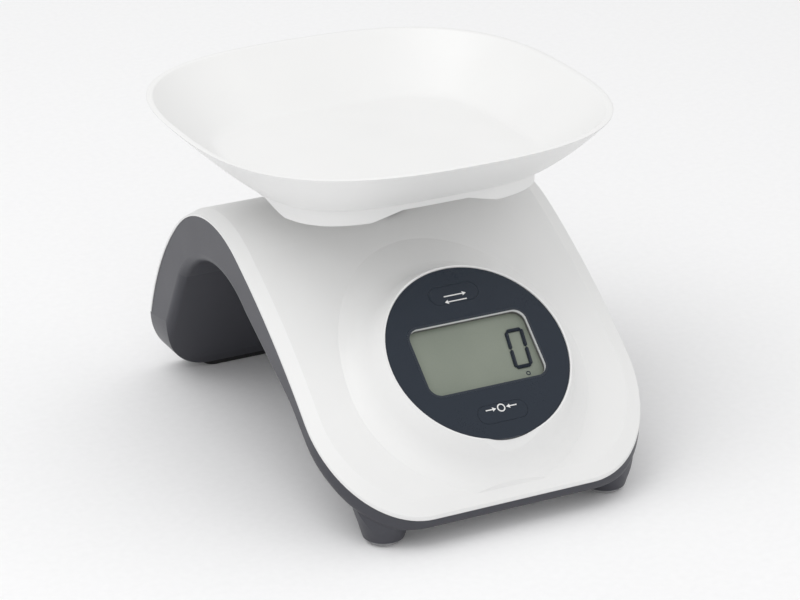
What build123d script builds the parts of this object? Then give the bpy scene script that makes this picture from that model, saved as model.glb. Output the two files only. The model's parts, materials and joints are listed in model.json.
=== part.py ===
"""Domestic electronic weighing scale: an arched two-part housing with a sloping round display,
a load cell under the crest, and a shallow weighing bowl on a skirted platform.

Frame: origin on the table at the middle of the footprint, +Z up, the display faces -Y.
Every node is a separate piece, written to parts/NODE.step, in millimetres.
"""
import os
from math import cos, sin, tan, radians, sqrt
from build123d import *

# ---- housing outline ------------------------------------------------------------------------
front_y = -106.0          # front edge of the housing
rear_y = 106.0            # back edge of the rear leg
front_half_width = 75.1   # half width of the housing at its front edge
rear_half_width = 70.6    # half width at its back edge
front_corner = 38.0       # plan radius of the front corners
rear_corner = 5.0         # plan radius of the rear corners

crest_y, crest_z = 26.0, 42.3   # centre of the crest arc, seen from the side
crest_radius = 58.0
rear_radius = 125.0             # arc down the rear leg
rear_angle = 42.0               # where the crest arc runs into the rear arc
front_radius = 330.0            # arc down the upper front slope
front_angle = 27.0              # where the crest arc runs into the front arc
slope_angle = 40.4              # the straight front slope
slope_reach = 70.0              # length of that slope

wall = 2.4                # walls of the lower shell
skin = 2.6                # thickness of the upper shell
bevel_width = 6.0         # bevel round the upper shell
bevel_drop = 1.7
block_low = 0.5           # the bevelled outline is kept down to this height
fit_gap = 0.3             # gap between pieces that move past each other
shell_step = 0.3          # the lower shell stands this much inside the upper one
seam_gap = 0.2            # parting line across the rear leg
front_seam_z = 6.0        # lowest edge of the upper shell at the front
rear_seam_z = 30.0        # lower edge of the upper shell on the rear leg

# ---- space under the arch -----------------------------------------------------------------------
tunnel_y, tunnel_z = 21.5, 26.0  # centre of the tunnel's crest arc
tunnel_radius = 52.3
tunnel_start = (-6.0, 69.7)      # where the front roof runs into the crest arc, seen from the side
tunnel_end = (61.6, 59.6)        # where the crest arc runs into the rear leg
front_floor = 7.5                # underside of the housing at its front edge
heel_floor = 2.0                 # underside of the rear leg
# bends of the roof: y, z and the radius that rounds each one
roof_bends = [(-99.0, front_floor, 12.0), (-78.5, 25.0, 30.0), (-50.5, 47.0, 60.0)]
heel_bend = (92.0, 6.0, 5.0)
leg_y = 45.0                     # from here back the rear leg is rounded in towards its strip
leg_flat = 45.0                  # half width of the rear leg's flat underside
leg_swell = 26.0                 # width of the rounding on each side
leg_round_z = 36.0               # the rounding starts at this height
arch_round = 3.5                 # rounding where the space under the arch meets the sides

# ---- display ------------------------------------------------------------------------------------
display_y, display_z = -74.0, 64.9  # centre of the display face
display_tilt = 39.7                 # tilt of the display face
ring_lip = 40.0           # outer radius of the ring's lip
ring_lean = 22.9          # lean of the ring's side
ring_drop = 8.5           # height of the ring's straight side
ring_fillet = 14.4        # hollow blend between the ring and the slope
ring_meet = 24.0          # slope at which the blend meets the housing
ring_reach = 69.0
ring_seat = 2.4           # depth of the ledge that carries the panel
ring_bore = 37.3          # radius of the room behind the panel
room_flare, room_depth = 3.1, 7.1    # how far that room widens, and over what depth
room_foot, room_foot_depth = 5.6, 5.5
panel_radius = 39.0
panel_thickness = 1.8
panel_depth = 0.5         # panel face below the ring's lip
window_width, window_height = 53.0, 30.5
window_corner = 5.0
trim_wall = 0.95
trim_depth = 3.2
key_offset = 27.5         # from the display centre up or down to a key
key_length, key_width = 22.0, 8.0
key_gap = 0.12            # between a key and the panel
key_flange = 0.9          # the key's foot is this much wider than its cap
key_travel = 0.6
stem_end = 5.6            # depth of the end of a key's stem
switch_size = 6.0
switch_height = 1.5
board_depth = 8.6         # depth of the board's face
board_radius = 38.0
board_thickness = 1.6
board_screw_places = [(sx * 34.0, sv * 8.0) for sx in (-1, 1) for sv in (-1, 1)]
lcd_width, lcd_height = 56.5, 33.5
lcd_depth = 3.75          # depth of the glass's face
glass = 1.1               # thickness of one sheet of glass
contact_v = -16.5         # middle of the contact strip, along the slope
contact_length, contact_width = 48.0, 1.6
frame_width, frame_height = 61.0, 39.6
frame_clear_width, frame_clear_height = 50.0, 28.0
frame_v = -0.5            # middle of the glass's frame, along the slope

# ---- battery well, with places along the display's slope --------------------------------------------
belly_half_width = 48.0
belly_low, belly_high = -50.0, 26.0
belly_roof = 10.0         # depth where the well starts
belly_depth = 29.0        # depth of its underside below the display face
battery_v = -14.0
battery_radius, battery_length = 5.1, 44.0
battery_spacing = 11.4
battery_gap = 0.8         # between the batteries and the cover
opening_x, opening_v = 27.5, 12.5    # half sizes of the battery opening
cover_lap = 2.0
cover_lid = 1.0
cover_plug = 1.4
groove_length, groove_width, groove_depth = 16.0, 1.6, 0.6
contact_size = 8.0
contact_metal = 0.5

# ---- weighing side ----------------------------------------------------------------------------------
tray_y = 14.7             # centre of the bowl and platform
rim_z = 144.4             # top of the bowl
rim_half_x, rim_half_y = 91.0, 87.0
base_half_x, base_half_y = 63.0, 56.5
bowl_base_z = 120.0
bowl_wall = 2.0
base_power, rim_power = 3.7, 2.85    # how square the bowl's outlines are
flare = 0.85                         # below 1 the wall flares out early
platform_half_x, platform_half_y = 59.0, 51.5
platform_power = 3.8
platform_top_z = 119.6
platform_skirt_z = 115.6  # lower edge of the skirt between the corners
platform_foot_z = 112.0   # lower edge of the skirt at the corners
platform_travel = 1.0
plate_thickness = 2.4
skirt_wall = 2.2
platform_round = 1.2      # rounding of the platform's top edge
skirt_span, skirt_slant = 58.0, 14.0  # each skirt's raised stretch and its slanting ends
pad_radius, pad_depth, pad_rise = 4.0, 0.6, 0.1
pad_places = [(sx * 42.0, tray_y + sy * 36.0) for sx in (-1, 1) for sy in (-1, 1)]

collar_radius = 12.0      # sleeve that hangs from the platform round its post
collar_clear = 1.5        # between the collar and the housing
post_radius = 8.0
post_wall = 2.4
neck_hole_radius = 9.5    # hole in the upper shell for the post
post_screw_places = [(-4.5, tray_y), (4.5, tray_y)]

cell_length, cell_width, cell_height = 70.0, 12.7, 9.0
cell_z = 81.4             # underside of the load cell
cell_hole = 3.4           # radius of the two joined holes through the beam
cell_slot = 1.2
gauge_x = 5.0             # the beam's thin places, either side of its middle
cell_screw_places = [(-29.0, tray_y), (-19.0, tray_y)]
seat_end_x = -13.0        # the beam's fixed end rests on a seat as far as here
stop_x = 29.0             # the overload stop starts here
spacer_x, bridge_x = 17.0, 33.0      # start and end of the spacer under the bridge
bridge_start_x = -16.0
bridge_plate = 1.6
gauge_foil = 0.2
bridge_z = cell_z + cell_height + platform_travel + gauge_foil + 0.2   # underside of the bridge
bridge_half_width = 8.0
post_top_z = platform_top_z - plate_thickness

# ---- feet and screws ----------------------------------------------------------------------------------
foot_x, foot_y = 51.0, -90.0
foot_radius, foot_height = 6.5, 4.0
foot_boss_z = 2.0         # underside of the boss round a foot
boss_low, boss_high = 8.5, 15.0
strip_y = 99.0            # middle of the rear foot strip
strip_half_length = 46.0
strip_width = 9.0
shell_screw_places = [(-61, 4), (61, 4), (-61, 40), (61, 40), (-foot_x, foot_y), (foot_x, foot_y)]
foot_split_z = 21.5       # where the front posts meet the front bosses
screw_radius, screw_head, screw_head_height = 1.5, 3.0, 1.8
crest_bite, front_bite = 6.5, 3.5    # length of thread above the split

os.makedirs("parts", exist_ok=True)

# ---- planes and small helpers --------------------------------------------------------------
side = Plane.YZ
display = Plane(
    origin=(0, display_y, display_z),
    x_dir=(1, 0, 0),
    z_dir=(0, -sin(radians(display_tilt)), cos(radians(display_tilt))),
)


def on_display(x=0.0, v=0.0, depth=0.0):
    """A place on the display: x to the right, v up the slope, depth below its lip."""
    return display * Pos(x, v, -depth)


def slab_on_display(width, height, near, far, x=0.0, v=0.0):
    """A box on the display between two depths."""
    return on_display(x, v, (near + far) / 2) * Box(width, height, far - near)


def disc_on_display(radius, near, far, x=0.0, v=0.0):
    """A disc on the display between two depths."""
    return on_display(x, v, (near + far) / 2) * Cylinder(radius, far - near)


def polar(center, radius, angle):
    """The point of an arc whose tangent slopes down at this angle, seen from the side."""
    return (center[0] + radius * sin(radians(angle)), center[1] + radius * cos(radians(angle)))


def box(x0, x1, y0, y1, z0, z1):
    """A box between two corners."""
    return Pos((x0 + x1) / 2, (y0 + y1) / 2, (z0 + z1) / 2) * Box(x1 - x0, y1 - y0, z1 - z0)


def band(z0, z1, y0=-200.0, y1=200.0):
    """Everything between two heights, and between two places along Y."""
    return box(-200, 200, y0, y1, z0, z1)


def rod(radius, z0, z1, x=0.0, y=0.0):
    """An upright round rod."""
    return Pos(x, y, (z0 + z1) / 2) * Cylinder(radius, z1 - z0)


def screw(x, y, head_z, tip_z, radius=screw_radius, head=screw_head, head_height=screw_head_height):
    """An upright screw from its head's bearing face to its tip, with the head on the far side."""
    way = 1 if head_z > tip_z else -1
    shank = rod(radius, min(head_z, tip_z), max(head_z, tip_z), x, y)
    low, high = sorted((head_z, head_z + way * head_height))
    return shank + rod(head, low, high, x, y)


def group(pieces):
    """Separate solids that share one node."""
    return Compound(children=list(pieces))


def superellipse(half_x, half_y, power, steps=16):
    """A rounded square outline as a closed smooth face, centred on the origin."""
    points = []
    for k in range(steps * 4):
        angle = radians(90.0 * (k + 0.5) / steps)
        c, s = cos(angle), sin(angle)
        x = half_x * abs(c) ** (2 / power) * (1 if c > 0 else -1)
        y = half_y * abs(s) ** (2 / power) * (1 if s > 0 else -1)
        points.append((x, y))
    return make_face(Spline(*points, periodic=True))


# ---- the housing's outline -------------------------------------------------------------------
crest = (crest_y, crest_z)
rear_center = polar(crest, crest_radius - rear_radius, rear_angle)
front_center = polar(crest, crest_radius - front_radius, -front_angle)


def top_edges(inset):
    """The side view of the housing's top, moved inwards by inset: slope, crest and rear leg."""
    a = polar(front_center, front_radius - inset, -slope_angle)
    ab = polar(front_center, front_radius - inset, -(slope_angle + front_angle) / 2)
    b = polar(front_center, front_radius - inset, -front_angle)
    bc = polar(crest, crest_radius - inset, 0)
    c = polar(crest, crest_radius - inset, rear_angle)
    cd = polar(rear_center, rear_radius - inset, (rear_angle + 90) / 2)
    d = polar(rear_center, rear_radius - inset, 90)
    run, fall = slope_reach * cos(radians(slope_angle)), slope_reach * sin(radians(slope_angle))
    start = (a[0] - run, a[1] - fall)
    edges = [Line(start, a), ThreePointArc(a, ab, b), ThreePointArc(b, bc, c), ThreePointArc(c, cd, d)]
    return start, d, edges


def under_top(inset, floor=-40.0):
    """Side-view face of everything below the top curve."""
    start, end, edges = top_edges(inset)
    closing = Polyline(end, (end[0], floor), (start[0], floor), start)
    return make_face(Curve() + edges + closing)


def across(face, half=100.0):
    """A side-view face pushed through the housing's whole width."""
    return extrude(side * face, half, both=True)


def plan(inset=0.0, z0=-5.0, z1=130.0):
    """The housing's plan outline as an upright prism."""
    corners = [
        (-front_half_width, front_y),
        (front_half_width, front_y),
        (rear_half_width, rear_y),
        (-rear_half_width, rear_y),
    ]
    face = make_face(Polyline(*corners, close=True))
    face = fillet(face.vertices().sort_by(Axis.Y)[:2], front_corner)
    face = fillet(face.vertices().sort_by(Axis.Y)[-2:], rear_corner)
    if inset:
        face = offset(face, -inset)
    return extrude(Pos(0, 0, z0) * face, z1 - z0)


def top_height(y):
    """Height of the housing's top surface at y, on the slope or the crest."""
    low = polar(front_center, front_radius, -slope_angle)
    joint = polar(front_center, front_radius, -front_angle)
    if y < low[0]:
        return low[1] - (low[0] - y) * tan(radians(slope_angle))
    center, radius = (front_center, front_radius) if y < joint[0] else (crest, crest_radius)
    return center[1] + sqrt(radius**2 - (y - center[0]) ** 2)


def tunnel_face(grow=0.0):
    """Side-view face of the space under the arch, down past the table."""
    front, back, below = front_y - 34, rear_y + 34, -60
    crown = (tunnel_y, tunnel_z + tunnel_radius)
    bends = [(y, z) for y, z, radius in roof_bends]
    roof = Polyline(*bends, tunnel_start)
    arc = ThreePointArc(tunnel_start, crown, tunnel_end)
    heel = [heel_bend[:2], (heel_bend[0] + 2, heel_floor), (back, heel_floor)]
    under = [(back, below), (front, below), (front, front_floor), bends[0]]
    face = make_face(Curve() + [roof, arc, Polyline(tunnel_end, *heel, *under)])
    for y, z, radius in roof_bends + [heel_bend]:
        corner = face.vertices().sort_by_distance((y, z))[0]
        face = fillet(corner, radius)
    return offset(face, grow) if grow else face


def tunnel_top(y):
    """Height of the tunnel's roof near the crest."""
    return tunnel_z + sqrt(tunnel_radius**2 - (y - tunnel_y) ** 2)


def leg_rounding(inset=0.0):
    """Front view of the rear leg: full width above, rounded in towards the strip below."""
    drop = leg_round_z - heel_floor - inset
    out = leg_swell - inset
    half, top = 80.0 - inset, 140.0
    base_z = leg_round_z - drop
    right = [
        Line((0, base_z), (leg_flat, base_z)),
        EllipticalCenterArc((leg_flat, leg_round_z), out, drop, start_angle=-90, arc_size=90),
        Polyline((leg_flat + out, leg_round_z), (half, leg_round_z + 6), (half, top), (0, top)),
    ]
    face = make_face(Curve() + right + [Line((0, top), (0, base_z))])
    shape = extrude(Plane.XZ * face, -200)
    return shape + mirror(shape, Plane.YZ)


# ---- upper shell ------------------------------------------------------------------------------
def ring_profile():
    """Half section of the raised display ring, from its axis to below the slope."""
    turn = radians(90 - ring_lean)
    end = radians(ring_meet)
    halfway = (turn + end) / 2
    foot_r = ring_lip + ring_drop * tan(radians(ring_lean))
    center_r, center_h = foot_r + ring_fillet * sin(turn), -ring_drop + ring_fillet * cos(turn)
    middle = (center_r - ring_fillet * sin(halfway), center_h - ring_fillet * cos(halfway))
    last = (center_r - ring_fillet * sin(end), center_h - ring_fillet * cos(end))
    edge_h = last[1] - (ring_reach - last[0]) * tan(end)
    bottom = -40
    outline = [
        Polyline((0, bottom), (0, 0), (ring_lip, 0), (foot_r, -ring_drop)),
        ThreePointArc((foot_r, -ring_drop), middle, last),
        Polyline(last, (ring_reach, edge_h), (ring_reach, bottom), (0, bottom)),
    ]
    return make_face(Curve() + outline)


def ring_hollow():
    """Half section of the room inside the display ring."""
    side_r, side_h = ring_bore + room_flare, -(ring_seat + room_depth)
    foot_r, foot_h = side_r + room_foot, side_h - room_foot_depth
    corners = [(0, -ring_seat), (ring_bore, -ring_seat), (side_r, side_h), (foot_r, foot_h)]
    return make_face(Polyline(*corners, (foot_r, -40), (0, -40), close=True))


def turned(face):
    """A half section turned round the display's axis."""
    return display * revolve(Plane.XZ * face, Axis.Z)


def shell_post(x, y):
    """Post inside the upper shell that a shell screw bites into."""
    return rod(3.5, split_height(x, y) + 0.05, 110, x, y) & across(under_top(1.0))


def split_height(x, y):
    """Where an upper post meets a lower boss."""
    return foot_split_z if (abs(x), y) == (foot_x, foot_y) else top_height(y) - 12.0


def screw_tip_z(x, y):
    """Height of a shell screw's tip."""
    return split_height(x, y) + (front_bite if (abs(x), y) == (foot_x, foot_y) else crest_bite)


def bevelled_block():
    """Everything below the housing's top surface, with the bevel round its rim."""
    block = across(under_top(0)) & plan() & band(block_low, 130)
    slope = block.faces().sort_by_distance((0, front_y + 10, top_height(front_y + 10)))[0]
    front_edge = slope.edges().sort_by(Axis.Y)[0]
    return chamfer([front_edge], bevel_width, bevel_drop, reference=slope)


def bevelled_plate():
    """The housing's solid top with its bevelled rim, cut off at the two seams."""
    plate = bevelled_block() - band(-10, rear_seam_z, 60, 130)
    return plate - band(-10, front_seam_z - 2)


def make_upper_shell():
    """White top cover: a curved plate with a bevelled rim, the display ring and the neck hole."""
    ring = turned(ring_profile()) & plan(bevel_width / 2)
    shell = bevelled_plate() + ring - across(under_top(skin)) - turned(ring_hollow())
    for x, v in board_screw_places:
        shell += disc_on_display(2.7, ring_seat, board_depth, x, v)
        shell -= disc_on_display(1.05, ring_seat + 0.8, board_depth, x, v)
    shell -= disc_on_display(panel_radius + 0.15, -1, ring_seat)
    shell -= rod(neck_hole_radius, 60, 120, 0, tray_y)
    shell -= band(-10, front_seam_z) + band(-10, rear_seam_z, 60, 130)
    for x, y in shell_screw_places:
        shell += shell_post(x, y)
        shell -= rod(screw_radius + 0.05, split_height(x, y) - 1, screw_tip_z(x, y) + 0.3, x, y)
    leg = band(0, 140, leg_y, 140)
    return shell - (leg - leg_rounding())


# ---- lower shell --------------------------------------------------------------------------------
def belly(inset=0.0):
    """The deeper middle of the front slope that holds the batteries."""
    length = belly_high - belly_low - 2 * inset
    middle = (belly_high + belly_low) / 2
    return slab_on_display(2 * (belly_half_width - inset), length, belly_roof, belly_depth - inset, v=middle)


def battery_opening():
    """The rectangular hole that the batteries go in through, with a step for the cover."""
    hole = slab_on_display(2 * opening_x, 2 * opening_v, belly_depth - 6, belly_depth + 4, v=battery_v)
    lap_x, lap_v = opening_x + cover_lap, opening_v + cover_lap
    near = belly_depth - cover_lid - fit_gap
    step = slab_on_display(2 * lap_x, 2 * lap_v, near, belly_depth + 1, v=battery_v)
    return hole + step


def rounded_arch(inset):
    """The arch below the top curve, rounded where the space under it meets its sides."""
    block = across(under_top(inset) - tunnel_face()) & plan(shell_step)
    roof = across(tunnel_face())
    edges = []
    for edge in block.edges():
        middle = edge @ 0.5
        on_side = abs(middle.X) > 40 and middle.Y < heel_bend[0] + 1
        if on_side and all(roof.distance_to(Vertex(edge @ t)) < 0.02 for t in (0.05, 0.5, 0.95)):
            edges.append(edge)
    return fillet(edges, arch_round)


def lower_block():
    """The lower shell's outside, as one solid."""
    room = across(under_top(skin))
    block = rounded_arch(skin)
    block += rounded_arch(0) & bevelled_block() & band(0, rear_seam_z - seam_gap, 80, 130)
    block += belly() & plan(2) & room
    for x in (-foot_x, foot_x):
        middle = (foot_boss_z + foot_split_z + 1.5) / 2
        boss = Pos(x, foot_y, middle) * Cone(boss_low, boss_high, foot_split_z + 1.5 - foot_boss_z)
        block += boss & plan(1.5) & room
    leg = band(-5, 130, leg_y, 130)
    return block - (leg - leg_rounding())


def lower_hollow():
    """The room inside the lower shell."""
    room = across(under_top(skin))
    inside = across(under_top(skin) - tunnel_face(wall)) & plan(wall + shell_step)
    inside -= band(-5, rear_seam_z, 80, 130) - across(under_top(skin + 1.5))
    leg = band(-5, 130, leg_y, 130)
    inside -= leg - leg_rounding(wall)
    inside += belly(wall) & plan(wall + 2) & room
    return inside - (band(-5, foot_split_z - 1.0, -120, -78) - belly(wall))


def screw_seat_z(x, y):
    """Height of the face that a shell screw's head bears on."""
    return foot_height + 2.0 if (abs(x), y) == (foot_x, foot_y) else tunnel_top(y) + 1.0


def cell_seat_z(y):
    """Height of the face that a load cell screw's head bears on."""
    return tunnel_top(y) + 1.2


def make_lower_shell():
    """Dark underside: the arch, the rear leg, the front feet's bosses and the battery well."""
    block = lower_block()
    shell = block - lower_hollow()
    for x in (-foot_x, foot_x):
        shell -= rod(foot_radius + 0.05, -1, foot_height, x, foot_y)
    for x, y in shell_screw_places:
        seat, high = screw_seat_z(x, y), split_height(x, y)
        shell += rod(4.2, seat - 2, high, x, y) & block
        shell -= rod(screw_radius + 0.2, seat - 5, high + 1, x, y)
        shell -= rod(screw_head + 0.3, seat - 12, seat, x, y)
    low = tunnel_top(tray_y) - 1
    near, far = tray_y - bridge_half_width, tray_y + bridge_half_width
    seat = box(-cell_length / 2, seat_end_x, near, far, low, cell_z)
    stop = box(stop_x, cell_length / 2, tray_y - 5, tray_y + 5, low, cell_z - platform_travel)
    shell += (seat + stop) - across(tunnel_face(1.0))
    for x, y in cell_screw_places:
        shell -= rod(screw_radius + 0.2, low - 15, cell_z + 1, x, y)
        shell -= rod(screw_head + 0.4, low - 15, cell_seat_z(y), x, y)
    return shell - battery_opening()


# ---- battery well ----------------------------------------------------------------------------------
battery_axis_depth = belly_depth - wall - battery_gap - battery_radius
battery_places = [(battery_v - battery_spacing / 2, 1), (battery_v + battery_spacing / 2, -1)]


def make_battery_cover():
    """Flush lid over the batteries, with a plug that fits the opening and a finger groove."""
    lap = cover_lap - fit_gap
    lid_x, lid_v = opening_x + lap, opening_v + lap
    lid = slab_on_display(2 * lid_x, 2 * lid_v, belly_depth - cover_lid, belly_depth, v=battery_v)
    plug_x, plug_v = opening_x - fit_gap, opening_v - fit_gap
    plug_near = belly_depth - cover_lid - cover_plug
    plug = slab_on_display(2 * plug_x, 2 * plug_v, plug_near, belly_depth - cover_lid, v=battery_v)
    groove_v = battery_v - plug_v + 3.5
    groove_near = belly_depth - groove_depth
    groove = slab_on_display(groove_length, groove_width, groove_near, belly_depth + 1, v=groove_v)
    return lid + plug - groove


def make_batteries():
    """Two slim round cells with their raised ends, lying opposite ways round."""
    cells = []
    for v, way in battery_places:
        body = Cylinder(battery_radius, battery_length - 1)
        nub = Pos(0, 0, battery_length / 2) * Cylinder(1.9, 1.0)
        cells.append(on_display(0, v, battery_axis_depth) * Rot(0, 90 * way, 0) * (body + nub))
    return group(cells)


plate_x = battery_length / 2 + 0.85


def make_battery_plates():
    """Flat positive contacts at the raised ends."""
    plates = []
    for v, way in battery_places:
        place = on_display(way * plate_x, v, battery_axis_depth)
        plates.append(place * Box(contact_metal, contact_size, contact_size))
    return group(plates)


def make_battery_springs():
    """Coiled negative contacts on their plates."""
    length = 2.6
    springs = []
    for v, way in battery_places:
        coil = Helix(pitch=1.1, height=length, radius=2.6)
        wire = sweep(Plane(origin=coil @ 0, z_dir=coil % 0) * Circle(0.3), path=coil)
        plate = Pos(0, 0, -contact_metal / 2) * Box(contact_size, contact_size, contact_metal)
        end = on_display(-way * (battery_length / 2 + length), v, battery_axis_depth)
        springs.append(end * Rot(0, 90 * way, 0) * Pos(0, 0, -0.3) * (wire + plate))
    return group(springs)


def make_battery_tabs():
    """Stiff metal tabs that carry current from the battery contacts to the board."""
    near, far = board_depth + board_thickness, battery_axis_depth - contact_size / 2 - 0.2
    tabs = []
    for v, way in battery_places:
        tabs.append(slab_on_display(contact_metal, 2.0, near, far, way * plate_x, v))
    return group(tabs)


# ---- display -------------------------------------------------------------------------------------
def rounded_plate(width, height, corner, near, far, v=0.0):
    """A plate with rounded corners on the display between two depths."""
    return on_display(0, v, far) * extrude(RectangleRounded(width, height, corner), far - near)


def key_plate(grow, near, far, v):
    """A key's long round shape between two depths."""
    outline = SlotOverall(key_length + 2 * grow, key_width + 2 * grow)
    return on_display(0, v, far) * extrude(outline, far - near)


def make_display_panel():
    """Dark disc over the display with a window and two key openings."""
    disc = disc_on_display(panel_radius, panel_depth, panel_depth + panel_thickness)
    disc -= rounded_plate(window_width + 2, window_height + 2, window_corner + 1, -1, 9)
    for v in (-key_offset, key_offset):
        disc -= key_plate(key_gap, -1, 9, v)
    return disc


def make_window_trim():
    """Thin bright frame that lines the window's edge."""
    width, height = window_width + 2 * trim_wall, window_height + 2 * trim_wall
    frame = rounded_plate(width, height, window_corner + trim_wall, panel_depth, panel_depth + trim_depth)
    return frame - rounded_plate(window_width, window_height, window_corner, -1, 9)


def make_key(v):
    """A key: a flush cap with a wider foot behind the panel and a stem down to its switch."""
    foot_near = panel_depth + panel_thickness + 0.2
    foot_far = foot_near + 0.8
    cap = key_plate(0, panel_depth, foot_far, v)
    foot = key_plate(key_flange, foot_near, foot_far, v)
    stem = disc_on_display(1.6, foot_far - 0.1, stem_end, 0, v)
    return cap + foot + stem


def make_switches():
    """Two small push switches soldered to the board, just below the keys' stems when pressed."""
    bodies = []
    top = board_depth - switch_height
    for v in (-key_offset, key_offset):
        body = slab_on_display(switch_size, switch_size, top, board_depth, v=v)
        button = disc_on_display(1.5, stem_end + key_travel + 0.1, top, v=v)
        bodies.append(body + button)
    return group(bodies)


def make_board():
    """Round circuit board behind the display."""
    board = disc_on_display(board_radius, board_depth, board_depth + board_thickness)
    for x, v in board_screw_places:
        board -= disc_on_display(1.4, board_depth - 1, board_depth + 4, x, v)
    return board


def make_board_parts():
    """Main chip, weighing amplifier, crystal and two capacitors under the board."""
    under = board_depth + board_thickness
    pieces = [
        slab_on_display(12, 12, under, under + 1.5, 0, 12),
        slab_on_display(6, 5, under, under + 1.4, -14, 14),
        slab_on_display(7, 3, under, under + 1.8, -14, 22),
    ]
    for k in range(2):
        pieces.append(disc_on_display(1.8, under, under + 3.0, 14 + 5 * k, 16))
    return group(pieces)


def make_board_screws():
    """Screws that hold the board to the ring's posts."""
    under = board_depth + board_thickness
    screws = []
    for x, v in board_screw_places:
        shank = disc_on_display(1.0, board_depth - 3.6, under + 0.2, x, v)
        head = disc_on_display(2.2, under + 0.1, under + 1.4, x, v)
        screws.append(shank + head)
    return group(screws)


def make_lcd():
    """Liquid-crystal cell: two sheets of glass, the lower one longer."""
    front = slab_on_display(lcd_width, lcd_height, lcd_depth, lcd_depth + glass)
    back = slab_on_display(lcd_width, lcd_height + 2, lcd_depth + glass, lcd_depth + 2 * glass, v=-1.0)
    return front + back


def make_lcd_frame():
    """Plastic frame that carries the glass above the board, open for the contact strip."""
    glass_end = lcd_depth + 2 * glass
    rail = slab_on_display(frame_width, frame_height, glass_end + 0.15, board_depth - 0.1, v=frame_v)
    rail -= slab_on_display(frame_clear_width, frame_clear_height, 0, 12, v=frame_v)
    rail -= slab_on_display(contact_length + 0.2, contact_width + 0.2, 0, 12, v=contact_v)
    for x in (-29.5, 29.5):
        rail += slab_on_display(1.6, 30, lcd_depth + 0.15, board_depth - 0.1, x)
    return rail


def make_lcd_contacts():
    """Soft striped strip that joins the glass to the board."""
    near = lcd_depth + 2 * glass + 0.05
    return slab_on_display(contact_length, contact_width, near, board_depth - 0.1, v=contact_v)


# ---- gauge lead ------------------------------------------------------------------------------------
lead_radius = 1.0
lead_route = [
    (-10, tray_y - 6.9, 86),
    (-14, tray_y - 14, 86),
    (-20, -12, 77),
    (-22, -30, 68),
    (-19, -43, 66),
    (-19, -47.5, 73.3),
]


def bend_radii(route):
    """The largest round arc that fits each bend of a lead's route."""
    points = [Vector(*place) for place in route]
    radii = []
    for before, here, after in zip(points, points[1:], points[2:]):
        run, next_run = here - before, after - here
        half_turn = radians(run.get_angle(next_run) / 2)
        radii.append(0.45 * min(run.length, next_run.length) / tan(half_turn))
    return radii


def make_gauge_lead():
    """Jacketed lead from the beam's gauges to the board, clipped along the housing's floor."""
    path = FilletPolyline(*lead_route, radius=bend_radii(lead_route))
    return sweep(Plane(origin=path @ 0, z_dir=path % 0) * Circle(lead_radius), path=path)


# ---- load cell and platform -----------------------------------------------------------------------
def make_load_cell():
    """Aluminium bending beam with a double round opening and four screw holes."""
    half, half_width = cell_length / 2, cell_width / 2
    top = cell_z + cell_height
    middle = (cell_z + top) / 2
    beam = box(-half, half, tray_y - half_width, tray_y + half_width, cell_z, top)
    for x in (-gauge_x, gauge_x):
        beam -= Pos(x, tray_y, middle) * Rot(90, 0, 0) * Cylinder(cell_hole, 20)
    beam -= box(-gauge_x, gauge_x, tray_y - 10, tray_y + 10, middle - cell_slot, middle + cell_slot)
    for x, y in cell_screw_places:
        for place in (-x, x):
            beam -= rod(screw_radius + 0.05, cell_z - 1, top + 1, place, y)
    return beam


def make_strain_gauges():
    """Foil gauges glued over the thin places of the beam."""
    pads = []
    for x in (-gauge_x, gauge_x):
        for low in (cell_z - gauge_foil, cell_z + cell_height):
            pads.append(box(x - 2.5, x + 2.5, tray_y - 2, tray_y + 2, low, low + gauge_foil))
    return group(pads)


def make_cell_screws():
    """Screws from below that hold the beam's fixed end."""
    return group(screw(x, y, cell_seat_z(y), cell_z + 7) for x, y in cell_screw_places)


def make_bridge():
    """Metal carrier above the beam: a spacer on its free end, a plate and the platform's post."""
    top = cell_z + cell_height
    near, far = tray_y - bridge_half_width, tray_y + bridge_half_width
    spacer = box(spacer_x, bridge_x, tray_y - 6.3, tray_y + 6.3, top, bridge_z)
    plate = box(bridge_start_x, bridge_x, near, far, bridge_z, bridge_z + bridge_plate)
    post = rod(post_radius, bridge_z, post_top_z, 0, tray_y)
    post -= rod(post_radius - post_wall, bridge_z + bridge_plate, 130, 0, tray_y)
    bridge = spacer + plate + post
    for x, y in post_screw_places:
        bridge += rod(2.8, bridge_z, post_top_z, x, y)
        bridge -= rod(1.3, post_top_z - 9, 130, x, y)
    for x, y in cell_screw_places:
        bridge -= rod(screw_radius + 0.1, cell_z, 130, -x, y)
    return bridge


def make_bridge_screws():
    """Screws from above that hold the bridge on the beam's free end."""
    top = bridge_z + bridge_plate
    return group(screw(-x, y, top, cell_z + 1, head=2.8, head_height=1.2) for x, y in cell_screw_places)


def make_platform_screws():
    """Screws that hold the platform down on the post."""
    return group(
        screw(x, y, post_top_z + 0.2, post_top_z - 8, radius=1.25, head=2.4, head_height=1.7)
        for x, y in post_screw_places
    )


def platform_block(inset, z0, z1):
    """The platform's outline between two heights."""
    outline = superellipse(platform_half_x - inset, platform_half_y - inset, platform_power)
    return extrude(Pos(0, tray_y, z0) * outline, z1 - z0)


def skirt_gap(plane, center):
    """The raised stretch of two opposite skirts, cut right through."""
    half, rise = skirt_span / 2, platform_skirt_z - platform_foot_z
    corners = [(-half, 0), (-half + skirt_slant, rise), (half - skirt_slant, rise), (half, 0)]
    face = Pos(center, platform_foot_z - 0.01) * make_face(Polyline(*corners, close=True))
    return extrude(plane * face, 100, both=True)


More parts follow.
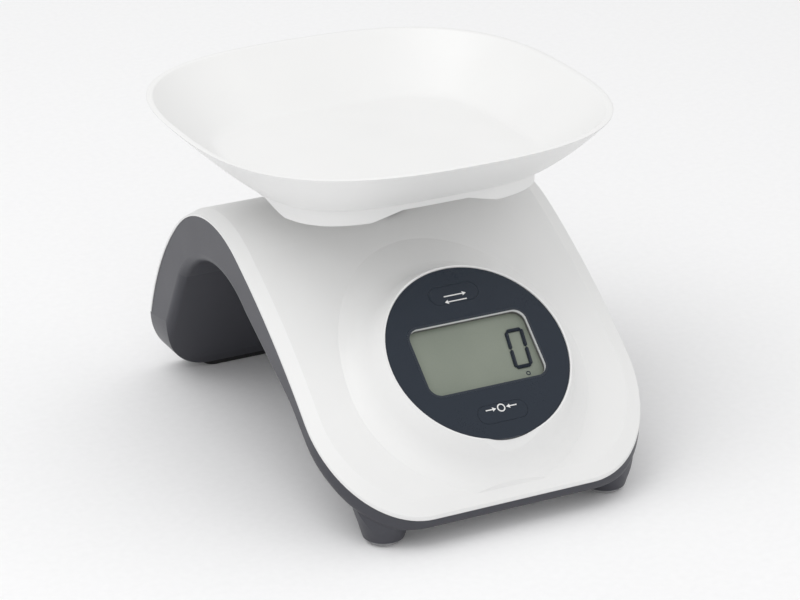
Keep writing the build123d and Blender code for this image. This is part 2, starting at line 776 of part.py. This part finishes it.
def make_platform():
    """White platform: a rounded square plate, a skirt with low corners, and a collar round its post."""
    body = platform_block(0, platform_foot_z, platform_top_z)
    body = fillet(body.faces().sort_by(Axis.Z)[-1].edges(), platform_round)
    body -= platform_block(skirt_wall, platform_foot_z - 1, post_top_z)
    body -= skirt_gap(Plane.XZ, 0) + skirt_gap(Plane.YZ, tray_y)
    collar = rod(collar_radius, 80, platform_top_z - 1, 0, tray_y)
    collar -= across(under_top(-collar_clear))
    body += collar - rod(post_radius + 0.2, 60, post_top_z, 0, tray_y)
    for x, y in post_screw_places:
        body -= rod(1.4, 100, 130, x, y) + rod(2.6, post_top_z + 0.2, 130, x, y)
    for x, y in pad_places:
        body -= rod(pad_radius + 0.2, platform_top_z - pad_depth, platform_top_z + 1, x, y)
    return body


def make_bowl_pads():
    """Thin grip pads let into the platform under the bowl."""
    low, high = platform_top_z - pad_depth, platform_top_z + pad_rise
    return group(rod(pad_radius, low, high, x, y) for x, y in pad_places)


# ---- bowl ---------------------------------------------------------------------------------------------
def bowl_outside(inset, base_z):
    """Flared rounded-square bowl, lofted from its base to its rim."""
    sections = []
    levels = 4
    for k in range(levels + 1):
        u = k / levels
        out = u**flare
        power = base_power + (rim_power - base_power) * out
        half_x = base_half_x + (rim_half_x - base_half_x) * out - inset
        half_y = base_half_y + (rim_half_y - base_half_y) * out - inset
        z = base_z + (rim_z - base_z) * u
        sections.append(Pos(0, tray_y, z) * superellipse(half_x, half_y, power, steps=8))
    return loft(sections)


def make_bowl():
    """Shallow open bowl with an even wall."""
    bowl = bowl_outside(0, bowl_base_z) - bowl_outside(bowl_wall, bowl_base_z + bowl_wall)
    return bowl - band(rim_z, rim_z + 5)


# ---- feet and shell screws --------------------------------------------------------------------------------
def make_front_feet():
    """Round pads let into the front bosses."""
    return group(rod(foot_radius, 0, foot_height, x, foot_y) for x in (-foot_x, foot_x))


def make_rear_strip():
    """Long rubber strip under the rear leg."""
    return extrude(Pos(0, strip_y, 0) * SlotOverall(2 * strip_half_length, strip_width), heel_floor)


def make_shell_screws():
    """Screws that join the two shells, driven from below."""
    screws = []
    for x, y in shell_screw_places:
        screws.append(screw(x, y, screw_seat_z(x, y), screw_tip_z(x, y)))
    return group(screws)


nodes = {
    "upper_shell": make_upper_shell,
    "lower_shell": make_lower_shell,
    "shell_screws": make_shell_screws,
    "front_feet": make_front_feet,
    "rear_foot_strip": make_rear_strip,
    "display_panel": make_display_panel,
    "window_trim": make_window_trim,
    "lcd_glass": make_lcd,
    "lcd_frame": make_lcd_frame,
    "lcd_contact_strip": make_lcd_contacts,
    "unit_key": lambda: make_key(key_offset),
    "tare_key": lambda: make_key(-key_offset),
    "key_switches": make_switches,
    "circuit_board": make_board,
    "board_components": make_board_parts,
    "board_screws": make_board_screws,
    "batteries": make_batteries,
    "battery_plates": make_battery_plates,
    "battery_springs": make_battery_springs,
    "battery_tabs": make_battery_tabs,
    "battery_cover": make_battery_cover,
    "load_cell": make_load_cell,
    "strain_gauges": make_strain_gauges,
    "gauge_lead": make_gauge_lead,
    "cell_screws": make_cell_screws,
    "load_bridge": make_bridge,
    "bridge_screws": make_bridge_screws,
    "platform": make_platform,
    "platform_screws": make_platform_screws,
    "bowl_pads": make_bowl_pads,
    "bowl": make_bowl,
}

if __name__ == "__main__":
    for name, make in nodes.items():
        export_step(make(), f"parts/{name}.step")
        print(name)
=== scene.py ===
"""Looks of a domestic electronic weighing scale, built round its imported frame.

Everything is in metres, +Z up, and the display faces -Y. The bowl is modelled here, and so are the
digit on the display and the symbols on the keys. Every other piece keeps its own shape.
"""
import json
from math import atan2, cos, hypot, pi, radians, sin
import bpy
from mathutils import Euler, Matrix, Vector

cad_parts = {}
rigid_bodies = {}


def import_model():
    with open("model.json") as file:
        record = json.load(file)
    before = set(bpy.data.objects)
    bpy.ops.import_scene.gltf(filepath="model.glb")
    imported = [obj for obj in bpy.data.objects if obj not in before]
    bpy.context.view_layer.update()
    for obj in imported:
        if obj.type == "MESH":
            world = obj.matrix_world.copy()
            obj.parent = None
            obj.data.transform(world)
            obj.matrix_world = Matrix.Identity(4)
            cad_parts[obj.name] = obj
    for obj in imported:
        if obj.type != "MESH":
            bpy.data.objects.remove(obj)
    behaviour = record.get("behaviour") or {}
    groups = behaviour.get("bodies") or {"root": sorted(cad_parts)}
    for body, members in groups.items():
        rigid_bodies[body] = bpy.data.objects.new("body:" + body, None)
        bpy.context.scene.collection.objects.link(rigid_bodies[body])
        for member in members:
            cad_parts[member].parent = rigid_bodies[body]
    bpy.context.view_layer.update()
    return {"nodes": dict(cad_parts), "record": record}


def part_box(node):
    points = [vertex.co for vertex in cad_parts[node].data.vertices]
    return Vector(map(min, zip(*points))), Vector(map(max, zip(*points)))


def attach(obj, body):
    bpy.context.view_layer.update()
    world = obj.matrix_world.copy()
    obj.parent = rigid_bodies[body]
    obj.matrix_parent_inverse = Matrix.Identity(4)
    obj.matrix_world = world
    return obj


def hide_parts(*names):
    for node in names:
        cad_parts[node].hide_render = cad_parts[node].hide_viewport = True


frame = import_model()
nodes = frame["nodes"]
MM = 0.001

# ---- driving sizes ------------------------------------------------------------------------
display_tilt = radians(39.7)
panel_middle_depth = 1.4 * MM       # middle of the panel below the ring's lip
key_face_depth = 0.5 * MM
glass_face_depth = 3.75 * MM
trim_depth = 3.2 * MM
key_offset = 25.6 * MM              # from the display's centre to a key's symbol

bowl_low, bowl_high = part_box("bowl")
bowl_middle = (bowl_low + bowl_high) / 2
rim_half = (bowl_high - bowl_low) / 2
bowl_base_half = (63.0 * MM, 56.5 * MM)
base_power, rim_power = 3.7, 2.85   # how square the bowl's outlines are
flare = 0.85                        # below 1 the wall flares out early
bowl_wall = 2.0 * MM
ring_points = 32                    # points of each of the bowl's outlines
outline_heights = (0.03, 0.12, 0.3, 0.5, 0.7, 0.86, 0.97, 1.08)     # against the bowl's height
base_inset = 1.6 * MM               # the lowest outline stands this much inside the next
base_insets = (3.0 * MM, 8.0 * MM, 18.0 * MM)   # steps in across the flat base
smooth_levels = 3
rim_round = 0.45 * MM

digit_middle = (19.5 * MM, -0.7 * MM)
digit_size = (6.9 * MM, 16.4 * MM)
digit_stroke = 1.45 * MM
digit_lean = 0.11
across_trim, upright_trim = 0.3 * MM, 0.35 * MM     # the digit's strokes end this much short
stroke_point = 0.42                 # pointing of a stroke's ends, against its width
ink = 0.06 * MM                     # thickness of printed symbols
mark_middle = (19.3 * MM, -12.2 * MM)
mark_radii = (1.0 * MM, 0.55 * MM)
tare_radii = (1.8 * MM, 1.25 * MM)
tare_arrow_offset, tare_arrow_length = 4.9 * MM, 4.2 * MM
unit_arrow_offset, unit_arrow_length = 1.3 * MM, 9.5 * MM
arrow_head, arrow_stroke = 1.1 * MM, 0.5 * MM
symbol_points = 32                  # points round a printed ring

fine_grain = 2600.0                 # scale of a moulding's grain
grain_height = 0.02 * MM
sleeve_band_x = 12.0 * MM           # the batteries' lighter band starts here

camera_place = (-0.5599, -1.0972, 0.5896)
camera_azimuth, camera_elevation = radians(27.14), radians(23.30)
camera_lens, camera_sensor = 143.2, 36.0
room_light = 0.84
light_target = (0.0, 0.0, 0.06)
floor_size, floor_drop = 12.0, 0.0002


def display_place(depth):
    """Matrix from the display's own axes, at this depth below its lip, to the frame's."""
    low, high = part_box("display_panel")
    middle = (low + high) / 2
    outward = Vector((0.0, -sin(display_tilt), cos(display_tilt)))
    up = Vector((0.0, cos(display_tilt), sin(display_tilt)))
    origin = Vector((0.0, middle.y, middle.z)) + outward * (panel_middle_depth - depth)
    turn = Matrix((Vector((1.0, 0.0, 0.0)), up, outward)).transposed()
    return Matrix.Translation(origin) @ turn.to_4x4()


# ---- shader arithmetic ------------------------------------------------------------------------
class Value:
    """A shader socket that takes part in plain arithmetic."""

    def __init__(self, finish, socket):
        self.finish = finish
        self.socket = socket

    def combine(self, operation, first, second):
        return self.finish.node("ShaderNodeMath", {"operation": operation}, {0: first, 1: second})

    def __add__(self, other):
        return self.combine("ADD", self, other)

    def __sub__(self, other):
        return self.combine("SUBTRACT", self, other)

    def __rsub__(self, other):
        return self.combine("SUBTRACT", other, self)

    def __mul__(self, other):
        return self.combine("MULTIPLY", self, other)

    def __gt__(self, other):
        return self.combine("GREATER_THAN", self, other)

    __radd__ = __add__
    __rmul__ = __mul__


class Finish:
    """A material in the making, built round one Principled shader."""

    def __init__(self, name, **constants):
        self.material = bpy.data.materials.new(name)
        self.material.use_nodes = True
        self.tree = self.material.node_tree
        self.shader = self.tree.nodes["Principled BSDF"]
        for socket, value in constants.items():
            self.shader.inputs[socket.replace("_", " ")].default_value = value

    def node(self, kind, settings, inputs, output=0):
        """Adds a node: its settings first, then the values or links of its sockets."""
        made = self.tree.nodes.new(kind)
        for name, value in settings.items():
            if name == "stops":
                self.set_stops(made.color_ramp, value)
            else:
                setattr(made, name, value)
        for name, value in inputs.items():
            self.feed(made.inputs[name], value)
        return Value(self, made.outputs[output])

    def set_stops(self, ramp, stops):
        """Gives a ramp its stops: (place, colour) pairs."""
        while len(ramp.elements) < len(stops):
            ramp.elements.new(0.5)
        for element, (place, colour) in zip(ramp.elements, stops):
            element.position = place
            element.color = (*colour, 1.0)

    def feed(self, socket, value):
        if isinstance(value, Value):
            self.tree.links.new(value.socket, socket)
        else:
            socket.default_value = value

    def set(self, **inputs):
        """Feeds sockets of the shader itself."""
        for name, value in inputs.items():
            self.feed(self.shader.inputs[name.replace("_", " ")], value)
        return self.material

    def place(self, stretch=(1.0, 1.0, 1.0)):
        """The piece's own coordinates, stretched along each axis."""
        coordinates = self.node("ShaderNodeTexCoord", {}, {}, output="Object")
        return self.node("ShaderNodeMapping", {}, {"Vector": coordinates, "Scale": stretch})

    def noise(self, place, scale, detail=3.0, roughness=0.5):
        """Cloudy noise from 0 to 1."""
        sockets = {"Vector": place, "Scale": scale, "Detail": detail, "Roughness": roughness}
        return self.node("ShaderNodeTexNoise", {}, sockets)

    def tint(self, factor, low, high):
        """A colour between two, by a factor from 0 to 1."""
        stops = [(0.3, low), (0.7, high)]
        return self.node("ShaderNodeValToRGB", {"stops": stops}, {"Fac": factor})

    def relief(self, height, strength, distance, edge=0.0):
        """Surface relief, on top of slightly rounded edges when edge is given."""
        sockets = {"Height": height, "Strength": strength, "Distance": distance}
        if edge:
            sockets["Normal"] = self.node("ShaderNodeBevel", {"samples": 4}, {"Radius": edge})
        return self.node("ShaderNodeBump", {}, sockets)


def shade(colour, factor):
    """A colour made lighter or darker."""
    return tuple(min(1.0, channel * factor) for channel in colour)


# ---- finishes -----------------------------------------------------------------------------------
def moulded(name, colour, roughness, grain=0.10, edge=0.35 * MM, specular=0.5):
    """Moulded plastic: faint flow marks in its colour, fine spark grain and softened edges."""
    finish = Finish(name, Specular_IOR_Level=specular)
    place = finish.place()
    flow = finish.noise(place, 14.0, detail=2.0)
    pores = finish.noise(place, fine_grain, detail=2.0, roughness=0.6)
    smears = finish.noise(place, 60.0)
    return finish.set(
        Base_Color=finish.tint(flow, shade(colour, 0.975), shade(colour, 1.02)),
        Roughness=roughness + (pores - 0.5) * 0.12 + (smears - 0.5) * 0.08,
        Normal=finish.relief(pores, grain, grain_height, edge),
    )


def window_edge(name):
    """The window's lining: navy on its face, a painted highlight on the upper part of its inner wall,
    and painted shade deeper in the recess.
    """
    finish = Finish(name, Specular_IOR_Level=0.5)
    place = finish.place()
    grain = finish.noise(place, fine_grain)
    face = display_place(key_face_depth)
    outward = face.to_3x3().col[2]
    level = face.translation.dot(outward)
    height = finish.node(
        "ShaderNodeVectorMath", {"operation": "DOT_PRODUCT"}, {0: place, 1: outward}, output="Value",
    )
    depth = (level - height) * (1 / trim_depth)
    # Painted light: the pale band is a painted highlight where the upper inner wall catches the light,
    # and the dark colour deeper down is painted shade in the recess.
    painted_recess_shade, painted_wall_highlight = (0.10, 0.10, 0.095), (0.82, 0.83, 0.84)
    stops = [(0.0, navy), (0.02, navy), (0.05, painted_wall_highlight), (0.42, painted_wall_highlight), (0.62, painted_recess_shade), (1.0, painted_recess_shade)]
    return finish.set(
        Base_Color=finish.node("ShaderNodeValToRGB", {"stops": stops}, {"Fac": depth}),
        Roughness=0.3 + grain * 0.1,
        Normal=finish.relief(grain, 0.03, grain_height),
    )


def rubbery(name, colour):
    """Matt rubber with a dusty bloom and a coarse grain."""
    finish = Finish(name, Specular_IOR_Level=0.3)
    place = finish.place()
    bloom = finish.noise(place, 220.0, detail=5.0)
    grain = finish.noise(place, 3000.0)
    return finish.set(
        Base_Color=finish.tint(bloom, shade(colour, 0.85), shade(colour, 1.25)),
        Roughness=0.72 + (bloom - 0.5) * 0.2,
        Normal=finish.relief(grain, 0.25, 0.03 * MM, 0.25 * MM),
    )


def worked_metal(name, colour, roughness, stretch):
    """Metal with fine marks along one axis and a little tarnish."""
    finish = Finish(name)
    marks = finish.noise(finish.place(stretch), 900.0, detail=4.0, roughness=0.65)
    tarnish = finish.noise(finish.place(), 90.0)
    return finish.set(
        Base_Color=finish.tint(tarnish, shade(colour, 0.86), colour),
        Metallic=1.0,
        Roughness=roughness + (marks - 0.5) * 0.22,
        Normal=finish.relief(marks, 0.18, 0.02 * MM, 0.15 * MM),
    )


def circuit_laminate(name):
    """Green laminate with darker copper tracks under its solder mask."""
    finish = Finish(name, Specular_IOR_Level=0.5)
    tracks = finish.node(
        "ShaderNodeTexVoronoi", {"feature": "DISTANCE_TO_EDGE", "distance": "CHEBYCHEV"},
        {"Vector": finish.place(), "Scale": 260.0},
    )
    copper = tracks > 0.09
    return finish.set(
        Base_Color=finish.tint(copper, (0.03, 0.17, 0.07), (0.012, 0.085, 0.035)),
        Roughness=0.32 + copper * 0.1,
        Normal=finish.relief(copper, 0.4, 0.03 * MM, 0.1 * MM),
    )


def display_cell(name):
    """Grey-green reflective cell with a faint fibre behind it and a cloudy tone."""
    finish = Finish(name, Specular_IOR_Level=0.35)
    fibre = finish.noise(finish.place((1.0, 3.0, 3.0)), 1500.0, detail=4.0)
    cloud = finish.noise(finish.place(), 45.0, detail=1.0)
    return finish.set(
        Base_Color=finish.tint(fibre * 0.4 + cloud * 0.6, (0.20, 0.225, 0.185), (0.235, 0.26, 0.215)),
        Roughness=0.22 + (fibre - 0.5) * 0.1,
        Normal=finish.relief(fibre, 0.03, 0.01 * MM),
    )


def battery_sleeve(name):
    """Printed sleeve: dark along most of the cell, with a lighter band at one end."""
    finish = Finish(name, Specular_IOR_Level=0.5, Coat_Roughness=0.1)
    coordinates = finish.node("ShaderNodeTexCoord", {}, {}, output="Object")
    along = finish.node("ShaderNodeSeparateXYZ", {}, {"Vector": coordinates}, output="X")
    wear = finish.noise(finish.place(), 400.0)
    band = along > sleeve_band_x
    stops = [(0.45, (0.03, 0.035, 0.04)), (0.55, (0.42, 0.30, 0.12))]
    return finish.set(
        Base_Color=finish.node("ShaderNodeValToRGB", {"stops": stops}, {"Fac": band}),
        Roughness=0.28 + wear * 0.1,
        Normal=finish.relief(wear, 0.05, 0.02 * MM, 0.3 * MM),
    )


def striped_contact(name):
    """Soft contact strip with close dark stripes across it."""
    finish = Finish(name)
    stripes = finish.node(
        "ShaderNodeTexWave", {"bands_direction": "X"}, {"Vector": finish.place(), "Scale": 420.0},
    )
    return finish.set(
        Base_Color=finish.tint(stripes, (0.05, 0.05, 0.055), (0.45, 0.36, 0.38)),
        Roughness=0.6 + stripes * 0.1,
    )


def foil_gauge(name):
    """Amber film over a fine metal grid."""
    finish = Finish(name, Specular_IOR_Level=0.5)
    grid = finish.node(
        "ShaderNodeTexWave", {"bands_direction": "Y"}, {"Vector": finish.place(), "Scale": 900.0},
    )
    return finish.set(
        Base_Color=finish.tint(grid, (0.50, 0.23, 0.05), (0.62, 0.48, 0.32)),
        Roughness=0.3 + grid * 0.1,
    )


def floor_paper(name):
    """White studio paper."""
    finish = Finish(name, Specular_IOR_Level=0.1)
    fibre = finish.noise(finish.place(), 300.0)
    return finish.set(
        Base_Color=finish.tint(fibre, (0.90, 0.90, 0.905), (0.92, 0.92, 0.925)),
        Roughness=0.9,
    )


white = (0.80, 0.80, 0.795)
charcoal = (0.044, 0.045, 0.056)
navy = (0.012, 0.019, 0.031)

finishes = {
    "white_plastic": moulded("white_plastic", white, 0.42),
    "bowl_plastic": moulded("bowl_plastic", shade(white, 1.04), 0.38),
    "platform_plastic": moulded("platform_plastic", white, 0.42),
    "dark_plastic": moulded("dark_plastic", charcoal, 0.40),
    "cover_plastic": moulded("cover_plastic", shade(charcoal, 0.9), 0.5, grain=0.3),
    "panel_plastic": moulded("panel_plastic", navy, 0.30, grain=0.04, edge=0.03 * MM, specular=0.35),
    "key_plastic": moulded("key_plastic", navy, 0.30, grain=0.04, edge=0.03 * MM, specular=0.35),
    "trim_plastic": window_edge("trim_plastic"),
    "lcd_glass": display_cell("lcd_glass"),
    "lcd_frame": moulded("lcd_frame", (0.02, 0.02, 0.022), 0.5),
    "contact_rubber": striped_contact("contact_rubber"),
    "switch_plastic": moulded("switch_plastic", (0.025, 0.025, 0.025), 0.45),
    "board_laminate": circuit_laminate("board_laminate"),
    "component_plastic": moulded("component_plastic", (0.02, 0.02, 0.021), 0.55, grain=0.3),
    "battery_jacket": battery_sleeve("battery_jacket"),
    "contact_metal": worked_metal("contact_metal", (0.72, 0.70, 0.66), 0.25, (1.0, 8.0, 8.0)),
    "cell_aluminium": worked_metal("cell_aluminium", (0.78, 0.79, 0.80), 0.34, (1.0, 14.0, 14.0)),
    "gauge_film": foil_gauge("gauge_film"),
    "lead_jacket": rubbery("lead_jacket", (0.22, 0.22, 0.23)),
    "bridge_alloy": worked_metal("bridge_alloy", (0.52, 0.53, 0.54), 0.48, (3.0, 3.0, 3.0)),
    "screw_steel": worked_metal("screw_steel", (0.60, 0.60, 0.60), 0.30, (6.0, 6.0, 1.0)),
    "foot_rubber": rubbery("foot_rubber", (0.34, 0.34, 0.35)),
    "strip_rubber": rubbery("strip_rubber", (0.018, 0.018, 0.019)),
    "pad_rubber": rubbery("pad_rubber", (0.60, 0.60, 0.59)),
}


def dress_nodes():
    """Gives each node of the frame the finish of its material slot."""
    for part in frame["record"]["subparts"]:
        mesh = nodes[part["node"]].data
        mesh.materials.clear()
        mesh.materials.append(finishes[part["material_slot"]])


# ---- modelling helpers -------------------------------------------------------------------------
def deselect():
    bpy.ops.object.select_all(action="DESELECT")


def take(piece):
    """Makes one piece the only selected one."""
    deselect()
    piece.select_set(True)
    bpy.context.view_layer.objects.active = piece


def pick(piece, test):
    """Goes into edit mode with only the vertices that pass a test selected."""
    bpy.ops.object.mode_set(mode="OBJECT")
    mesh = piece.data
    for face in mesh.polygons:
        face.select = False
    for edge in mesh.edges:
        edge.select = False
    for vertex in mesh.vertices:
        vertex.select = test(vertex.co)
    bpy.ops.object.mode_set(mode="EDIT")


def name_piece(piece, name):
    piece.name = name
    piece.data.name = name
    return piece


def finish_modifier(piece, kind, **settings):
    """Adds one modifier and applies it."""
    take(piece)
    modifier = piece.modifiers.new(kind, kind)
    for name, value in settings.items():
        setattr(modifier, name, value)
    bpy.ops.object.modifier_apply(modifier=modifier.name)


def give(piece, slot, body):
    """Gives a new piece its finish and the body that it moves with."""
    piece.data.materials.clear()
    piece.data.materials.append(finishes[slot])
    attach(piece, body)


# ---- bowl ------------------------------------------------------------------------------------------
def squareness(angle, power):
    """Radius of a rounded square at an angle, against its half width."""
    return (abs(cos(angle)) ** power + abs(sin(angle)) ** power) ** (-1 / power)


def square_outline(piece, half_x, half_y, power, z):
    """Turns the selected circle of radius 1 into a rounded square outline at height z."""
    centre = Vector((0.0, bowl_middle.y, z))
    bpy.ops.transform.resize(value=(half_x, half_y, 1.0), center_override=centre)
    step = 2 * pi / ring_points
    quarter = ring_points // 4
    for k in range(1, quarter // 2 + 1):
        def on_ray(place):
            angle = atan2(abs(place.y - centre.y) / half_y, abs(place.x) / half_x)
            nearest = round(angle / step)
            return abs(place.z - z) < 1e-6 and min(nearest, quarter - nearest) == k
        pick(piece, on_ray)
        grow = squareness(k * step, power)
        bpy.ops.transform.resize(value=(grow, grow, 1.0), center_override=centre)


def bowl_outlines():
    """The bowl's outside from its base to just above its rim: half sizes, power and height."""
    base_x, base_y = bowl_base_half
    low, height = bowl_low.z, bowl_high.z - bowl_low.z
    rings = [(base_x - base_inset, base_y - base_inset, base_power, low)]
    for u in outline_heights:
        out = u**flare
        half_x = base_x + (rim_half.x - base_x) * out
        half_y = base_y + (rim_half.y - base_y) * out
        rings.append((half_x, half_y, base_power + (rim_power - base_power) * out, low + height * u))
    return rings


def skin_outlines(piece, outlines):
    """Adds each outline to a piece that already holds the first circle, and bridges them."""
    for number, outline in enumerate(outlines):
        if number:
            pick(piece, lambda place: False)
            centre = (0.0, bowl_middle.y, outline[3])
            bpy.ops.mesh.primitive_circle_add(vertices=ring_points, radius=1.0, location=centre)
        else:
            pick(piece, lambda place: True)
        square_outline(piece, *outline)
    pick(piece, lambda place: True)
    bpy.ops.mesh.bridge_edge_loops()


def close_base(piece):
    """Fills the lowest outline with a flat base, inset so that it stays flat when smoothed."""
    pick(piece, lambda place: place.z < bowl_low.z + 1e-6)
    bpy.ops.mesh.edge_face_add()
    for inset in base_insets:
        bpy.ops.mesh.inset(thickness=inset)
    bpy.ops.mesh.select_all(action="SELECT")
    bpy.ops.mesh.normals_make_consistent(inside=False)
    bpy.ops.object.mode_set(mode="OBJECT")
    lowest = min(piece.data.polygons, key=lambda face: face.center.z)
    if lowest.normal.z > 0:
        pick(piece, lambda place: True)
        bpy.ops.mesh.flip_normals()
        bpy.ops.object.mode_set(mode="OBJECT")


def level_rim(piece):
    """Cuts the wall off level at the rim and closes it with a flat lip."""
    top = bowl_high.z
    pick(piece, lambda place: True)
    cut = {"plane_co": (0.0, 0.0, top), "plane_no": (0.0, 0.0, 1.0)}
    bpy.ops.mesh.bisect(**cut, clear_outer=True)
    bpy.ops.mesh.select_all(action="DESELECT")
    bpy.ops.mesh.select_non_manifold()
    bpy.ops.mesh.bridge_edge_loops()
    bpy.ops.mesh.select_all(action="SELECT")
    bpy.ops.mesh.normals_make_consistent(inside=False)
    bpy.ops.object.mode_set(mode="OBJECT")


def fit_width(piece):
    """Brings the rim to its exact width and depth."""
    xs = [vertex.co.x for vertex in piece.data.vertices]
    ys = [vertex.co.y - bowl_middle.y for vertex in piece.data.vertices]
    grow = (rim_half.x / max(xs), rim_half.y / max(ys), 1.0)
    pick(piece, lambda place: True)
    bpy.ops.transform.resize(value=grow, center_override=(0.0, bowl_middle.y, 0.0))
    bpy.ops.object.mode_set(mode="OBJECT")


def make_bowl():
    """Shallow open bowl: outlines bridged into a skin, smoothed, walled and cut level at the rim."""
    deselect()
    centre = (0.0, bowl_middle.y, bowl_low.z)
    bpy.ops.mesh.primitive_circle_add(vertices=ring_points, radius=1.0, location=centre)
    bowl = name_piece(bpy.context.object, "bowl_shell")
    bpy.ops.object.transform_apply(location=True, rotation=True, scale=True)
    skin_outlines(bowl, bowl_outlines())
    close_base(bowl)
    finish_modifier(bowl, "SUBSURF", levels=smooth_levels, render_levels=smooth_levels)
    finish_modifier(bowl, "SOLIDIFY", thickness=bowl_wall, offset=-1.0, use_even_offset=True)
    level_rim(bowl)
    fit_width(bowl)
    rounding = {"width": rim_round, "segments": 2, "limit_method": "ANGLE", "angle_limit": radians(40)}
    finish_modifier(bowl, "BEVEL", **rounding)
    bpy.ops.object.shade_smooth_by_angle(angle=radians(35))
    give(bowl, "bowl_plastic", "bowl")
    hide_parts("bowl")


# ---- display ---------------------------------------------------------------------------------------
def start_piece(name):
    """An empty piece in edit mode, for primitives to be added to."""
    deselect()
    mesh = bpy.data.meshes.new(name)
    piece = bpy.data.objects.new(name, mesh)
    bpy.context.scene.collection.objects.link(piece)
    take(piece)
    bpy.ops.object.mode_set(mode="EDIT")
    return piece


def round_upright_edges(piece, offset):
    """Bevels the edges that stand on the display."""
    bpy.ops.object.mode_set(mode="OBJECT")
    points = piece.data.vertices
    for face in piece.data.polygons:
        face.select = False
    for vertex in points:
        vertex.select = False
    for edge in piece.data.edges:
        a, b = (points[number].co for number in edge.vertices)
        edge.select = hypot(a.x - b.x, a.y - b.y) < 1e-7
    bpy.ops.object.mode_set(mode="EDIT")
    bpy.ops.mesh.select_mode(type="EDGE")
    bpy.ops.mesh.bevel(offset=offset, segments=1, affect="EDGES")
    bpy.ops.mesh.select_mode(type="VERT")


def lay_on_display(piece, depth, lean=0.0):
    """Leans a piece, and lays it on the display at this depth."""
    bpy.ops.object.mode_set(mode="OBJECT")
    slant = Matrix.Identity(4)
    slant[0][1] = lean
    piece.data.transform(display_place(depth) @ slant)
    piece.data.update()


def add_bar(x, v, width, height):
    """A thin upright-edged bar in the piece being edited."""
    bpy.ops.mesh.primitive_cube_add(size=1.0, location=(x, v, ink / 2), scale=(width, height, ink))


def make_digit():
    """A zero in seven-stroke style: two strokes across and four upright ones, with pointed ends."""
    digit = start_piece("digit_zero")
    middle_x, middle_v = digit_middle
    half_width, half_height = digit_size[0] / 2, digit_size[1] / 2
    length = half_height - upright_trim
    for side in (-1, 1):
        add_bar(middle_x, middle_v + side * half_height, 2 * half_width - across_trim, digit_stroke)
        for end in (-1, 1):
            add_bar(middle_x + side * half_width, middle_v + end * half_height / 2, digit_stroke, length)
    round_upright_edges(digit, stroke_point * digit_stroke)
    lay_on_display(digit, glass_face_depth, digit_lean)
    give(digit, "panel_plastic", "base")


def make_unit_mark():
    """Small ring under the digit that stands for the unit in use."""
    mark = start_piece("unit_mark")
    add_ring(*mark_middle, *mark_radii)
    lay_on_display(mark, glass_face_depth)
    give(mark, "panel_plastic", "base")


def add_ring(x, v, outer, inner):
    """A flat ring in the piece being edited."""
    bpy.ops.mesh.select_all(action="DESELECT")
    bpy.ops.mesh.primitive_circle_add(vertices=symbol_points, radius=outer, location=(x, v, 0.0))
    shrink = inner / outer
    bpy.ops.mesh.extrude_edges_move()
    bpy.ops.transform.resize(value=(shrink, shrink, 1.0), center_override=(x, v, 0.0))
    bpy.ops.mesh.select_linked()
    bpy.ops.mesh.extrude_region_move(TRANSFORM_OT_translate={"value": (0.0, 0.0, ink)})
    bpy.ops.mesh.select_linked()
    bpy.ops.mesh.normals_make_consistent(inside=False)


def add_arrow(x, v, length, way):
    """An arrow along the display, its tip towards +X or -X."""
    add_bar(x - way * arrow_head / 2, v, length - arrow_head, arrow_stroke)
    tip = (x + way * (length / 2 - arrow_head / 2), v, ink / 2)
    bpy.ops.mesh.primitive_cylinder_add(
        vertices=3, radius=arrow_head, depth=ink, location=tip, rotation=(0.0, 0.0, -way * pi / 2),
    )


def make_unit_symbol():
    """Two opposite arrows on the upper key."""
    symbol = start_piece("unit_symbol")
    for way in (-1, 1):
        add_arrow(0.0, key_offset + way * unit_arrow_offset, unit_arrow_length, way)
    lay_on_display(symbol, key_face_depth)
    give(symbol, "white_plastic", "unit_key")


def make_tare_symbol():
    """Two arrows that point at a ring, on the lower key."""
    symbol = start_piece("tare_symbol")
    add_ring(0.0, -key_offset, *tare_radii)
    for side in (-1, 1):
        add_arrow(side * tare_arrow_offset, -key_offset, tare_arrow_length, -side)
    lay_on_display(symbol, key_face_depth)
    give(symbol, "white_plastic", "tare_key")


# ---- studio ----------------------------------------------------------------------------------------
def make_floor():
    """Wide white paper under the scale."""
    deselect()
    bpy.ops.mesh.primitive_plane_add(size=floor_size, location=(0.0, 0.0, -floor_drop))
    floor = name_piece(bpy.context.object, "floor")
    floor.data.materials.append(floor_paper("floor_paper"))


def add_soft_light(name, place, target, size, power):
    """One square soft light aimed at a point."""
    lamp = bpy.data.lights.new(name, "AREA")
    lamp.size = size
    lamp.energy = power
    light = bpy.data.objects.new(name, lamp)
    bpy.context.scene.collection.objects.link(light)
    light.location = place
    direction = Vector(target) - Vector(place)
    light.rotation_euler = direction.to_track_quat("-Z", "Y").to_euler()


def light_studio():
    """A white room, a large soft light above on the left, and a weaker one in front."""
    world = bpy.data.worlds.new("studio")
    bpy.context.scene.world = world
    world.use_nodes = True
    background = world.node_tree.nodes["Background"]
    background.inputs["Color"].default_value = (1.0, 1.0, 1.0, 1.0)
    background.inputs["Strength"].default_value = room_light
    add_soft_light("overhead", (-0.75, -0.15, 1.5), light_target, size=1.2, power=7.0)
    add_soft_light("front_fill", (-0.6, -1.6, 1.1), light_target, size=1.2, power=3.0)


def place_camera():
    """Camera in front on the left, looking down on the scale."""
    camera = bpy.data.cameras.new("camera")
    camera.lens = camera_lens
    camera.sensor_width = camera_sensor
    camera.clip_start = 0.05
    eye = bpy.data.objects.new("camera", camera)
    bpy.context.scene.collection.objects.link(eye)
    eye.location = camera_place
    eye.rotation_euler = Euler((pi / 2 - camera_elevation, 0.0, -camera_azimuth))
    bpy.context.scene.camera = eye


dress_nodes()
make_bowl()
make_digit()
make_unit_mark()
make_unit_symbol()
make_tare_symbol()
make_floor()
light_studio()
place_camera()
bpy.context.scene.view_settings.view_transform = "Standard"
